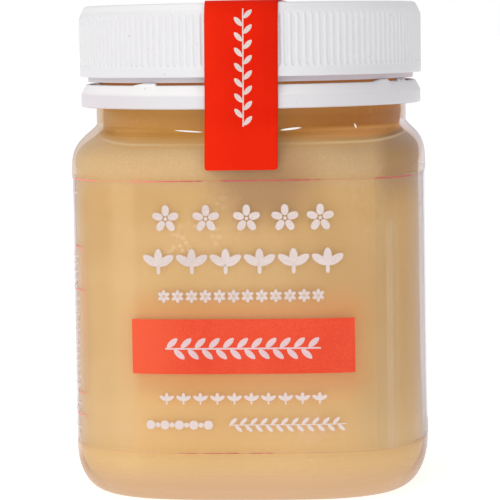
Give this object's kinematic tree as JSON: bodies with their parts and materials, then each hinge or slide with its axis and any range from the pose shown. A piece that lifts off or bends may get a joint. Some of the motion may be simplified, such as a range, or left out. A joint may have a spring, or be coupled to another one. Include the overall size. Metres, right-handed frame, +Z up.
{
  "type": "honey jar",
  "caption": "Small clear plastic jar of set honey with a rounded-square body, clear printed wrap label, ribbed white screw lid with break-off ring, and a red paper seal over the lid.",
  "frame": {"origin": "centre of the underside, where the jar stands", "axes": "+Z up through the lid, -Y towards the front with the red block of the label, +X to the right seen from the front"},
  "size_m": [0.06, 0.0603, 0.0818],
  "materials": {
    "clear_plastic": "clear and glossy, 1 mm wall",
    "set_honey": "opaque pale tan set honey, faintly cloudy and uneven, wet against the wall",
    "white_plastic": "white moulded plastic, satin",
    "printed_film": "clear film printed in off-white with one red block",
    "red_paper": "smooth orange-red printed paper"
  },
  "bodies": {
    "root": {"jar": "clear_plastic", "honey": "set_honey", "lid": "white_plastic", "label": "printed_film", "seal_strip": "red_paper"}
  },
  "joints": []
}
